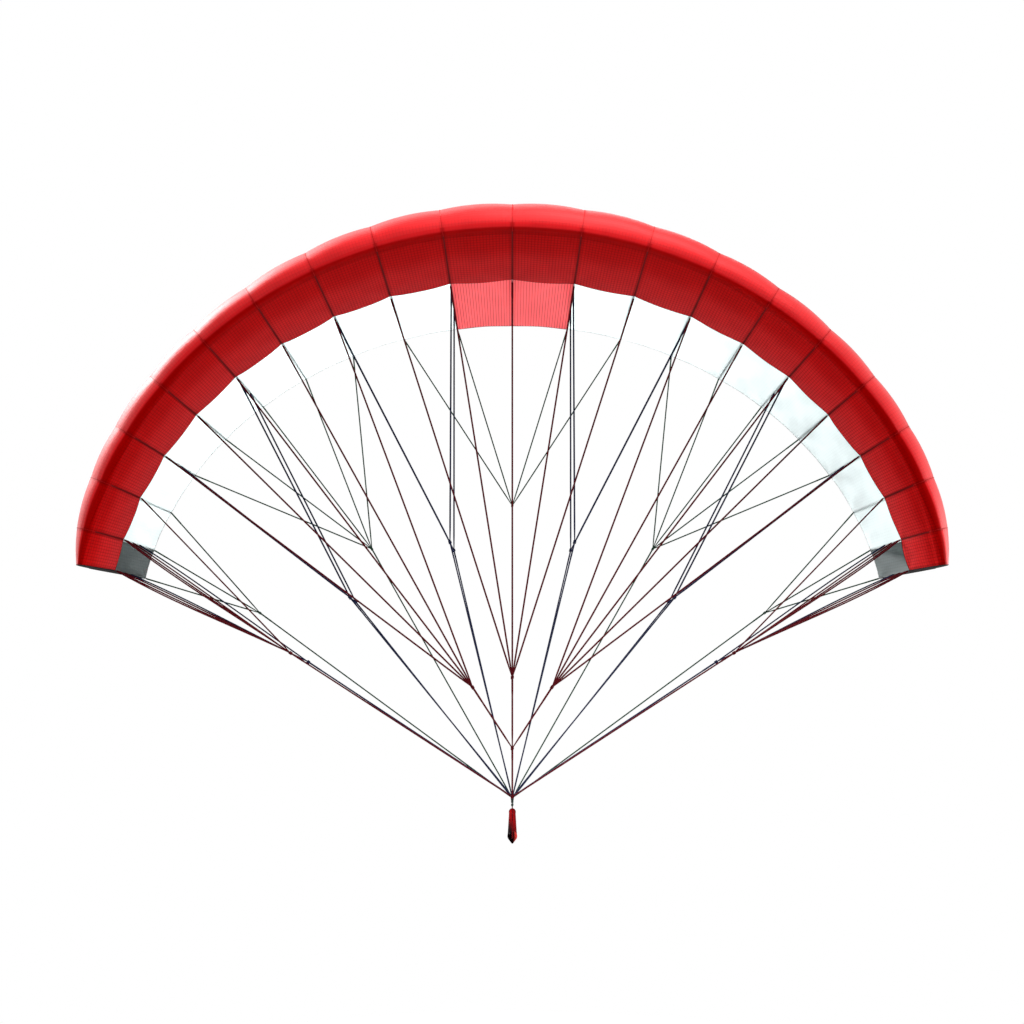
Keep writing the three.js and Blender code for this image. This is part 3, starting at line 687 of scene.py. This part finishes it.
MATERIALS = {
    "red_cloth": cloth_material(
        "red ripstop", NOSE_COLOURS, RED_GLOW, passing=0.15, weft=0.92, seam=0.9, sheen=0.42, gloss=0.15),
    # The lower skin's cloth is the nose's red cloth in a copy for its shaded underside: no sheen, red-tinted
    # gloss, and colours with painted shade and painted light
    "shaded_lower_skin": cloth_material(
        "red ripstop of the lower skin", LOWER_SKIN_COLOURS, RED_GLOW, passing=0.15, warp=0.64, weft=0.7,
        seam=0.7, gloss=0.05, shine=RED_SHINE, fade=(SHADE_BAND_FROM, SHADE_BAND_EDGE, 1.0, SHADE_BAND_WEAVE)),
    "light_red_cloth": cloth_material(
        "light red ripstop", plain(255, 150, 154), rgb(255, 141, 145), passing=0.5, warp=0.42, weft=0.98),
    "white_cloth": cloth_material(
        "white ripstop", plain(230, 235, 236), rgb(239, 245, 245), passing=0.76, warp=0.97, weft=0.98,
        seam=0.9),
    "grey_cloth": cloth_material(
        "grey ripstop", plain(132, 140, 140), rgb(138, 146, 146), passing=0.4, weft=0.92),
    "rib_cloth": cloth_material(
        "rib cloth", plain(236, 240, 239), rgb(236, 240, 239), passing=0.5, warp=0.96, weft=0.96, seam=1.0),
    "dark_cloth": cloth_material(
        "dark ripstop", plain(20, 13, 14), rgb(20, 13, 14), passing=0.05, weft=0.92, seam=1.0, gloss=0.1),
    "hem": tape_material("hem binding", rgb(84, 4, 8), rgb(60, 4, 8)),
    # Over the lower skin this dark red tape is both a seam tape and the painted shadow of the rib seen
    # through the cloth
    "red_tape": tape_material("red seam tape", rgb(104, 2, 5), rgb(80, 2, 4)),
    "red_seam": tape_material("red seam", rgb(186, 5, 9), rgb(164, 4, 7)),
    "white_tape": tape_material("white seam tape", rgb(176, 182, 182), rgb(140, 146, 145)),
    "light_red_tape": tape_material("light red seam tape", rgb(226, 96, 102), rgb(200, 70, 78)),
    "dark_tape": tape_material("dark tape", rgb(30, 26, 27), rgb(18, 16, 17)),
    "edge_thread": tape_material("edge thread", rgb(214, 219, 218), rgb(96, 102, 100), EDGE_STITCH_PITCH),
    "red_line": braid_material("red braid", rgb(68, 5, 12), rgb(92, 16, 25)),
    "blue_line": braid_material("blue braid", rgb(20, 24, 46), rgb(40, 45, 74)),
    "green_line": braid_material("green braid", rgb(34, 58, 44), rgb(56, 84, 68)),
    "leader_cord": braid_material("leader braid", rgb(44, 52, 48), rgb(74, 84, 78)),
    "red_cord": braid_material("red leader braid", rgb(74, 0, 4), rgb(92, 2, 8)),
    "grip_foam": painted_shade_foam_material(
        "grip foam", (rgb(14, 0, 2), rgb(122, 0, 3)), reach=(-0.32, 0.12), roughness=0.4, gloss=0.003),
    # The front cap's bright pale red, on its right side, is a painted highlight, and its near-black front
    # left is painted shade
    "cap_plastic": painted_shade_foam_material(
        "front cap", (rgb(6, 0, 1), rgb(176, 52, 46)), reach=(-0.21, -0.05), roughness=0.35, gloss=0.006),
    "rear_cap_plastic": painted_shade_foam_material(
        "rear cap", (rgb(6, 0, 1), rgb(84, 4, 2)), reach=(-0.28, 0.15), roughness=0.35, gloss=0.006),
}


# Canopy

waves = np.random.default_rng(WAVES_SEED)


def creases(from_rib, along, ties, phase):
    """Small waves in the cloth: puckers beside the ribs, and folds that fan out from each tie.
    from_rib is metres to the nearest rib, along is metres along the section, ties are places along it."""
    wave = np.sin(2 * math.pi * along / PUCKER_PITCH + phase)
    height = PUCKER_HEIGHT * np.exp(-from_rib / PUCKER_REACH) * wave
    for tie in ties:
        share = np.hypot(from_rib, along - tie) / FOLD_REACH
        turn = np.arctan2(from_rib, np.abs(along - tie) + TINY)
        height = height + FOLD_HEIGHT * share * np.exp(1 - share) * np.sin(FOLDS_AT_A_TIE * turn + phase)
    return height


def cloth_over(from_place, to_place, rows, from_rib, to_rib, tie_ends):
    """Inner and outer points of cloth over a run of cells, with its UVs.
    tie_ends says which ends of its run are pulled by ties: 0 for the first, 1 for the last."""
    run = np.linspace(RUN_AT[from_place], RUN_AT[to_place], rows)
    inner, outer, cloth_uv, place_uv = [], [], [], []
    across = 0.0
    for rib in range(from_rib, to_rib):
        start = station_of(rib) + (SEAM_GAP / 2 if rib == from_rib else 0)
        end = station_of(rib + 1) - (SEAM_GAP / 2 if rib + 1 == to_rib else 0)
        width = end - start
        phase = waves.uniform(0, 2 * math.pi)
        for column in range(0 if rib == from_rib else 1, CELL_COLUMNS + 1):
            share = column / CELL_COLUMNS
            station = start + width * share
            section = Section(station)
            aft, up, billow, outward = section.skin(run)
            along = (run - run[0]) * section.chord
            ties = [along[-1] * tie_end for tie_end in tie_ends]
            from_seam = width * min(share, 1 - share)
            lift = billow * ARC_PEAK * share * (1 - share) * width
            lift = lift + creases(from_seam, along, ties, phase) * min(1.0, from_seam / SEAM_HOLD)
            for points, offset in ((inner, 0.0), (outer, CLOTH)):
                points.append(section.point(*off_skin(aft, up, outward, lift + offset)))
            cloth_uv.append(np.stack((np.full(rows, across + width * share), along), 1))
            # Places along the cloth, shifted so that the band of painted shade over the chin rises towards
            # the tips
            place = np.linspace(0, 1, rows) - SHADE_BAND_RISE * (station / HALF_ARCH) ** 2
            place_uv.append(np.stack((np.full(rows, from_seam), place), 1))
        across += width
    return [np.array(grid) for grid in (inner, outer, cloth_uv, place_uv)]


def add_sheet(parts, inner, outer, cloth_uv, place_uv, row_slots=None):
    """One closed thin sheet. row_slots gives the material number of each row, where they differ."""
    columns, rows = inner.shape[:2]
    faces = np.array(sheet_faces(columns, rows))
    slots = 0 if row_slots is None else row_slots[(faces % rows).min(1)]
    parts.add((inner, outer), faces, slots, (cloth_uv, cloth_uv), (place_uv, place_uv))


def hemmed_sheet(grids, hem_row, hem_slot, row_slots=None):
    """A sheet from its grids, with a round hem along one of its rows."""
    parts = Parts()
    add_sheet(parts, *grids, row_slots)
    inner, outer = grids[:2]
    tube(parts, (inner[:, hem_row] + outer[:, hem_row]) / 2, HEM_RADIUS, HEM_SIDES, hem_slot)
    return parts


def fit_over(piece, node):
    """Puts a piece in the place of its solid."""
    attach(piece, BODY)
    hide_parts(node)


def fit_cloth(piece, node):
    """Puts a sheet in the place of its solid."""
    fit_over(piece, node)


def nose_panels():
    """One panel for each cell, from the scalloped hem round the nose to the top seam, with a bound hem."""
    finishes = ("red_cloth", "hem", "shaded_lower_skin")
    nose, hem, shaded_lower_skin = range(len(finishes))
    for rib in range(-TIP_RIB, TIP_RIB):
        label = side_label(rib if rib < 0 else rib + 1)
        grids = cloth_over("scalloped hem", "top seam", NOSE_ROWS, rib, rib + 1, (0,))
        middle_places = grids[3][CELL_COLUMNS // 2, :, 1]
        # Rows below the top of the painted shade band take the shaded copy of the red cloth
        row_slots = np.where(middle_places < SHADE_BAND_TOP, shaded_lower_skin, nose)
        parts = hemmed_sheet(grids, hem_row=0, hem_slot=hem, row_slots=row_slots)
        piece = parts.build(f"cloth_nose_{label}", finishes)
        fit_cloth(piece, f"nose_panel_{label}")


def aft_sheets():
    """The sheets behind the top seam, each with a thread along its trailing edge."""
    for name, from_rib, to_rib, slot in AFT_SHEETS:
        grids = cloth_over("top seam", "trailing edge", AFT_ROWS, from_rib, to_rib, (1,))
        parts = hemmed_sheet(grids, hem_row=-1, hem_slot=1)
        thread = "hem" if slot == "light_red_cloth" else "edge_thread"
        piece = parts.build(f"cloth_{name}", (slot, thread))
        fit_cloth(piece, name)


# Ribs

def free_edge(rib, section, upper, aft):
    """Height of a rib's free edge at places aft of the hem: curves that rise between its tabs."""
    tail = RIB_TAIL_AFT * section.chord
    tips = [(TIES[tie][0] * section.chord, TIES[tie][1] * section.chord)
            for tie in TAB_ORDER if abs(rib) in TIES[tie][2]]
    ends = tips + [(tail + TAB_TIP_WIDTH / 2, upper(tail) - RIB_TAIL_HEIGHT)]
    height = np.full_like(aft, tips[0][1])
    for (from_aft, from_up), (to_aft, to_up) in zip(ends, ends[1:]):
        start, stop = from_aft + TAB_TIP_WIDTH / 2, to_aft - TAB_TIP_WIDTH / 2
        share = np.clip((aft - start) / (stop - start), 0, 1)
        middle = (from_up + to_up) / 2
        control = middle + (upper((start + stop) / 2) - middle) * FREE_EDGE_LIFT
        curve = (1 - share) ** 2 * from_up + 2 * share * (1 - share) * control + share ** 2 * to_up
        height = np.where(aft >= start, curve, height)
    return height


def rib_rim(section, run):
    """Aft and up of a rib's rim, just inside the skin, at places along the section's run."""
    aft, up, _, outward = section.skin(run)
    return off_skin(aft, up, outward, -RIB_INSET)


def ribs():
    """Upright cloth between the cells, inside the skin, with its tabs on a curved free edge."""
    lower_run = np.linspace(0, RUN_AT["nose"], RIB_LOWER_STEPS)
    upper_run = np.linspace(RUN_AT["nose"], RUN_AT["trailing edge"], RIB_UPPER_STEPS)
    share = np.linspace(0, 1, RIB_ROWS)
    for rib in BOTH_SIDES:
        section = Section(station_of(rib))
        lower_aft, lower_up = rib_rim(section, lower_run)
        upper_aft, upper_up = rib_rim(section, upper_run)

        def upper(aft):
            return np.interp(aft, upper_aft, upper_up)

        front = max(lower_aft.min(), upper_aft.min())
        turn = np.linspace(0, math.pi / 2, RIB_COLUMNS)
        aft = front + (RIB_TAIL_AFT * section.chord - front) * (1 - np.cos(turn))
        below = np.interp(aft, lower_aft[::-1], lower_up[::-1])
        bottom = np.where(aft < HEM_AFT * section.chord, below, free_edge(rib, section, upper, aft))
        top = upper(aft)
        height = bottom[:, None] + (top - bottom)[:, None] * share
        run = np.broadcast_to(aft[:, None], height.shape)
        near = section.point(run, height, -CLOTH / 2)
        far = section.point(run, height, CLOTH / 2)
        uv = np.stack((run, height), -1)
        place = np.stack((np.full(height.shape, FAR_FROM_SEAM), np.broadcast_to(share, height.shape)), -1)
        parts = Parts()
        add_sheet(parts, near, far, uv, place)
        at_tip = abs(rib) == TIP_RIB
        slot = "grey_cloth" if at_tip else "rib_cloth"
        label = side_label(rib)
        piece = parts.build(f"cloth_rib_{label}", ["dark_cloth" if at_tip else slot])
        fit_cloth(piece, f"rib_{label}")


# Seam tapes over the ribs, each stretch with its width at both ends and its material
TAPE_LIFT = 0.0012
TAPE_THICKNESS = 0.0006
TAPE_ROWS = 90
TIP_TAPE_SHARE = 0.6
TAPE_MATERIALS = ("red_tape", "red_seam", "white_tape", "light_red_tape", "dark_tape")
TAPE_STRETCHES = (
    # Over the lower skin the tape also stands for the rib's shadow through the cloth, as painted shadow
    ("scalloped hem", "chin crease", 0.0065, 0.004, "red_tape"),
    ("chin crease", "top seam", 0.0022, 0.0022, "red_seam"),
    ("top seam", "trailing edge", 0.006, 0.006, "white_tape"),
)


def seam_tapes():
    """A sewn tape over each rib, outside the skin: red over the nose, pale behind it and dark at the tips."""
    parts = Parts()
    for rib in BOTH_SIDES:
        section = Section(station_of(rib))
        at_tip = abs(rib) == TIP_RIB
        for from_place, to_place, first_width, last_width, name in TAPE_STRETCHES:
            if at_tip or (abs(rib) == TIP_RIB - 1 and name == "white_tape"):
                name = "dark_tape"
            elif rib == 0 and name == "white_tape":
                name = "light_red_tape"
            slot = TAPE_MATERIALS.index(name)
            run = np.linspace(RUN_AT[from_place], RUN_AT[to_place], TAPE_ROWS)
            aft, up, _, outward = section.skin(run)
            widths = np.linspace(first_width, last_width, TAPE_ROWS) * (TIP_TAPE_SHARE if at_tip else 1.0)
            grids = []
            for lift in (TAPE_LIFT, TAPE_LIFT + TAPE_THICKNESS):
                edge = off_skin(aft, up, outward, lift)
                grids.append([section.point(*edge, side * widths) for side in (-0.5, 0.5)])
            along = (run - run[0]) * section.chord
            uv = [np.stack((along, np.full(TAPE_ROWS, share)), 1) for share in (0.0, 1.0)]
            faces = [face[::-1] for face in sheet_faces(2, TAPE_ROWS)]
            parts.add(grids, faces, slot, (uv, uv))
    piece = parts.build("seam_tapes", TAPE_MATERIALS)
    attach(piece, BODY)


# Lines

def line_run(parts, start, end, radius, bow=0.0):
    """One taut line, thin where it leaves its joint, with a sewn sleeve at its far end.
    bow is how far it rises at most, two thirds of the way to its end."""
    length = np.linalg.norm(end - start)
    sleeve = min(SLEEVE_LENGTH, length * SLEEVE_SHARE)
    taper = sleeve + SLEEVE_TAPER
    steps = np.array((0, sleeve, taper, length - sleeve - SLEEVE_TAPER, length - sleeve, length))
    swells = (JOINT_SHARE, 1, 1, 1, SLEEVE_SWELL, SLEEVE_SWELL)
    at = np.union1d(steps, np.linspace(0, length, BOW_STEPS)) if bow else steps
    share = (at / length)[:, None]
    rise = np.array((0.0, 0.0, bow * BOW_PEAK)) * share ** 2 * (1 - share)
    tube(parts, start + (end - start) * share + rise, radius * np.interp(at, steps, swells), LINE_SIDES)


# Knots: turns and steps of a coil, and its size as shares of the line's radius
KNOT_TURNS = 3
KNOT_STEPS = 14
KNOT_COIL = 1.35
KNOT_CORD = 0.65
KNOT_LENGTH = 3.4
KNOT_SIDES = 6


def knot(parts, place, direction, radius, slot=0):
    """A wrapped knot: a short coil round a line of this radius."""
    along = unit(np.asarray(direction, float))
    first, second = square_to(along)
    turn = np.linspace(0, 2 * math.pi * KNOT_TURNS, KNOT_TURNS * KNOT_STEPS + 1)
    rise = np.linspace(-0.5, 0.5, len(turn)) * KNOT_LENGTH * radius
    ring = np.cos(turn)[:, None] * first + np.sin(turn)[:, None] * second
    coil = place + ring * KNOT_COIL * radius + rise[:, None] * along
    tube(parts, coil, KNOT_CORD * radius, KNOT_SIDES, slot)


def line_trees():
    """Four trees of lines, each from its foot through its joints to the ties."""
    for tree, (meeting, shift, radius, main_share, slot) in TREES.items():
        foot = meeting + (0.0, shift, FOOT_SPREAD)
        places = {"foot": foot}
        parts = Parts()
        knot(parts, foot, (0, 0, 1), radius)
        for name, parent, pair, share, lean, tied, serves in JOINTS[tree]:
            served = [(tie, rib) for tie, tie_ribs in serves.items() for rib in tie_ribs]
            bundled = name == "tip" and tree in TIP_LIFTS
            lift = TIP_LIFTS[tree] if bundled else 0.0
            main_radius = radius * (TIP_MAIN_SHARE if bundled else main_share)
            tie_radius = radius * TIP_LINE_SHARE if bundled else radius
            for side in ((-1, 1) if pair else (1,)):
                ties = [tie_point(tie, side * rib) for tie, rib in served]
                place = places[parent] + (np.mean(ties, 0) - places[parent]) * share
                place = place - (side * lean if pair else 0.0, 0.0, -lift)
                places[name] = place
                knot(parts, place, place - places[parent], radius)
                line_run(parts, places[parent], place, main_radius)
                if not tied:
                    continue
                for (tie, rib), end in zip(served, ties):
                    bow = TIP_BOWS[tie] if bundled and rib in OUTER_RIBS else 0.0
                    line_run(parts, place, end - unit(end - place) * LINE_END_GAP, tie_radius, bow)
        fit_over(parts.build(f"braid_{tree}", [slot]), tree)


# Tabs: loops of tape that hold the lines to the ribs
TAB_LENGTH = 0.02
TAB_WIDTH = 0.008
TAB_HALF_LOOP = 0.0022
TAB_TAPE = 0.0007
TAB_STEPS = 8


def tab_loop(parts, tie, outward, along, across):
    """One loop of tape over a rib's edge, its bight at the tie and its ends up on both sides of the rib."""
    turn = np.linspace(-math.pi / 2, math.pi / 2, TAB_STEPS)
    reach = np.concatenate(([TAB_LENGTH], TAB_HALF_LOOP * (1 - np.cos(turn)), [TAB_LENGTH]))
    spread = np.concatenate(([-TAB_HALF_LOOP], TAB_HALF_LOOP * np.sin(turn), [TAB_HALF_LOOP]))
    line = tie + reach[:, None] * outward + spread[:, None] * across
    normal = unit(np.cross(np.gradient(line, axis=0), along))
    widths = np.array((-0.5, 0.5)) * TAB_WIDTH
    grids = [[line + width * along + normal * lift for width in widths] for lift in (0.0, TAB_TAPE)]
    parts.add(grids, sheet_faces(2, len(line)))


def line_tabs():
    """Tape loops at every tie on the ribs' free edges."""
    parts = Parts()
    for tie in TAB_ORDER:
        for rib in BOTH_SIDES:
            if abs(rib) in TIES[tie][2]:
                section = Section(station_of(rib))
                tab_loop(parts, tie_point(tie, rib), section.up, section.aft, section.across)
    piece = parts.build("line_tabs", ["dark_tape"])
    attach(piece, BODY)


# Bar: distances along its axis and radii, and a leader at each end
BAR_TILT = math.radians(5)
BAR_AXIS = np.array((0.0, math.cos(BAR_TILT), math.sin(BAR_TILT)))
BAR_HALF_LENGTH = 0.25
BAR_SIDES = 48
BAR_STEPS = 60
BAR_SHARP_ANGLE = 40.0
GRIP_TURNING = (
    (-0.2258, 0.0156), (-0.218, 0.0164), (-0.15, 0.0154), (0.0, 0.0142), (0.15, 0.013), (0.222, 0.0124),
    (0.2298, 0.0118))
FRONT_CAP_TURNING = ((-0.25, 0.008), (-0.247, 0.012), (-0.241, 0.0154), (-0.234, 0.0168), (-0.2262, 0.0168))
REAR_CAP_TURNING = ((0.2302, 0.013), (0.24, 0.0132), (0.247, 0.0124), (0.25, 0.01))
# Finger stop: distance along the bar, drop below it and radius
FINGER_STOP = (-0.24, 0.02, 0.004)
CAP_SHARP_ANGLE = 35.0
CAP_JOIN = 1e-5
LEADER_RADIUS = 0.002
LEADER_REACH = 0.009
LEADER_STEPS = 40
LEADER_SIDES = 10
LEADER_KNOT_SHARE = 1.2
REAR_KNOT_HEIGHT = 0.55
SLEEVE_FROM = 0.8
LOOP_SHARE = 0.8
LOOP_STEPS = 4
LOOP_SIDES = 8


def turned(parts, turning):
    """A closed solid turned round the bar's axis, from distances along it and radii."""
    along, radius = np.array(turning).T
    steps = np.unique(np.concatenate((np.linspace(along[0], along[-1], BAR_STEPS), along)))
    tube(parts, steps[:, None] * BAR_AXIS, np.interp(steps, along, radius), BAR_SIDES)


def turned_piece(name, node, finish, turning):
    parts = Parts()
    turned(parts, turning)
    fit_over(parts.build(name, [finish], BAR_SHARP_ANGLE), node)


def front_cap(name, node, slot):
    """The front cap: turned, and drawn down to a rounded stop for the fingers."""
    parts = Parts()
    turned(parts, FRONT_CAP_TURNING)
    shape = bmesh.new()
    for point in np.concatenate(parts.points):
        shape.verts.new(point)
    along, drop, radius = FINGER_STOP
    middle = BAR_AXIS * along - np.array((0.0, -BAR_AXIS[2], BAR_AXIS[1])) * drop
    for polar in np.linspace(0, math.pi, BAR_SIDES // 2):
        for turn in np.linspace(0, 2 * math.pi, BAR_SIDES, endpoint=False):
            out = math.sin(polar)
            away = np.array((out * math.cos(turn), out * math.sin(turn), math.cos(polar)))
            shape.verts.new(middle + radius * away)
    bmesh.ops.remove_doubles(shape, verts=list(shape.verts), dist=CAP_JOIN)
    bmesh.ops.convex_hull(shape, input=list(shape.verts))
    inside = [vert for vert in shape.verts if not vert.link_faces]
    bmesh.ops.delete(shape, geom=inside, context="VERTS")
    mesh = bpy.data.meshes.new(name)
    shape.to_mesh(mesh)
    shape.free()
    mesh.materials.append(MATERIALS[slot])
    smooth(mesh, CAP_SHARP_ANGLE)
    fit_over(new_object(name, mesh), node)


def leader(name, node, finishes, end, meeting, knot_heights):
    """A cord out of one end of the bar and up to the knot under a meeting point, looped to the lines' feet.
    finishes are those of the cord and of the sleeve over its upper part."""
    face = BAR_AXIS * end * BAR_HALF_LENGTH
    bend = face + BAR_AXIS * end * LEADER_REACH
    rise = bend + (0.0, 0.0, LEADER_REACH)
    top = meeting - (0.0, 0.0, FOOT_SPREAD)
    corners = np.array((face, bend, rise, top))
    run = run_along(corners)
    steps = np.linspace(0, run[-1], LEADER_STEPS)
    line = np.stack([spline(run, corners[:, i], steps) for i in range(3)], 1)
    parts = Parts()
    sleeve_start = round(SLEEVE_FROM * LEADER_STEPS)
    tube(parts, line[:sleeve_start + 1], LEADER_RADIUS, LEADER_SIDES)
    tube(parts, line[sleeve_start:], LEADER_RADIUS * SLEEVE_SWELL, LEADER_SIDES, slot=1)
    for height in knot_heights:
        knot(parts, rise + (top - rise) * height, top - rise, LEADER_RADIUS * LEADER_KNOT_SHARE, slot=1)
    for shift in (-FOOT_SPREAD, FOOT_SPREAD):
        loop = np.linspace(top, meeting + (0.0, shift, FOOT_SPREAD), LOOP_STEPS)
        tube(parts, loop, LEADER_RADIUS * LOOP_SHARE, LOOP_SIDES, slot=1)
    fit_over(parts.build(name, finishes), node)


def bar():
    turned_piece("bar_foam", "bar_grip", "grip_foam", GRIP_TURNING)
    front_cap("bar_end_front", "bar_cap_front", "cap_plastic")
    turned_piece("bar_end_rear", "bar_cap_rear", "rear_cap_plastic", REAR_CAP_TURNING)
    leader("cord_front", "leader_front", ("red_cord", "leader_cord"), -1, FRONT_MEETING, (1,))
    leader("cord_rear", "leader_rear", ("leader_cord", "leader_cord"), 1, REAR_MEETING,
           (REAR_KNOT_HEIGHT, 1))


# Stage: floor, light and camera
FLOOR_DROP = 1.1
FLOOR_RADIUS = 2.3
FLOOR_SIDES = 96
FLOOR_TONE = (0.74, 0.78)
FLOOR_SPECKLE = 40.0
WORLD_LIGHT = 0.23
# Soft suns: name, direction from the part to the sun, spread in degrees and strength
SUNS = (
    ("top sun", (0.28, -0.20, 0.93), 40.0, 4.0),
    ("left sun", (-0.62, 0.52, 0.55), 20.0, 5.6),
    ("right sun", (0.90, 0.10, 0.40), 40.0, 0.3),
)
# Panel lights: name, place, the point that it faces, width and power
PANELS = (
    ("nose panel", (0.3, -1.35, 2.75), (0.0, -0.3, 2.0), 0.9, 17.0),
    ("left panel", (-2.6, -0.45, 2.1), (-1.4, -0.1, 1.2), 0.8, 7.0),
    ("bar panel", (0.5, -0.8, 0.0), (0.0, 0.0, 0.0), 0.4, 2.5),
    ("right panel", (2.75, 0.25, 1.1), (1.5, 0.25, 1.1), 0.8, 19.0),
)


def floor():
    """A round pale floor below the bar."""
    turn = np.linspace(0, 2 * math.pi, FLOOR_SIDES, endpoint=False)
    level = np.full(FLOOR_SIDES, CAD_LOW.z - FLOOR_DROP)
    rim = np.stack((np.cos(turn) * FLOOR_RADIUS, np.sin(turn) * FLOOR_RADIUS, level), 1)
    mesh = bpy.data.meshes.new("floor")
    mesh.from_pydata(rim.tolist(), [], [tuple(range(FLOOR_SIDES))])
    g = Graph("pale floor")
    place = g.add("ShaderNodeTexCoord").outputs["Object"]
    speckle = g.step(g.noise(place, FLOOR_SPECKLE), 0.0, 1.0, *FLOOR_TONE)
    mesh.materials.append(g.finish(g.add("ShaderNodeBsdfDiffuse", {"Color": g.grey(speckle)}).outputs[0]))
    new_object("floor", mesh)


def lamp(name, kind, towards, place=(0.0, 0.0, 0.0), **settings):
    """A light that shines on the part. towards points from the part to the light."""
    light = bpy.data.lights.new(name, kind)
    for key, value in settings.items():
        setattr(light, key, value)
    made = new_object(name, light)
    x, y, z = towards
    made.rotation_euler = (math.atan2(math.hypot(x, y), z), 0.0, math.atan2(y, x) + math.pi / 2)
    made.location = place
    made.visible_camera = False


def studio():
    """White all round, with soft suns above and on both sides, and panels by the nose, bar and both tips."""
    world = bpy.data.worlds.new("studio")
    world.use_nodes = True
    nodes, links = world.node_tree.nodes, world.node_tree.links
    sight = nodes.new("ShaderNodeLightPath")
    share = nodes.new("ShaderNodeMapRange")
    share.inputs["To Min"].default_value = WORLD_LIGHT
    links.new(sight.outputs["Is Camera Ray"], share.inputs["Value"])
    links.new(share.outputs[0], nodes["Background"].inputs["Strength"])
    nodes["Background"].inputs["Color"].default_value = (1.0, 1.0, 1.0, 1.0)
    bpy.context.scene.world = world
    bpy.context.scene.view_settings.view_transform = "Standard"
    for name, towards, spread, strength in SUNS:
        lamp(name, "SUN", towards, angle=math.radians(spread), energy=strength)
    for name, place, faces, width, power in PANELS:
        lamp(name, "AREA", np.subtract(place, faces), place, shape="DISK", size=width, energy=power)


def camera():
    data = bpy.data.cameras.new("camera")
    data.sensor_width = SENSOR_WIDTH
    data.lens = SENSOR_WIDTH * FOCAL_PIXELS / PICTURE_WIDTH
    data.shift_x, data.shift_y = CAMERA_SHIFT
    eye = new_object("camera", data)
    eye.location = CAMERA_PLACE
    eye.rotation_euler = (math.pi / 2 + CAMERA_PITCH, 0.0, 0.0)
    bpy.context.scene.camera = eye


camera()
nose_panels()
aft_sheets()
ribs()
seam_tapes()
line_trees()
line_tabs()
bar()
floor()
studio()
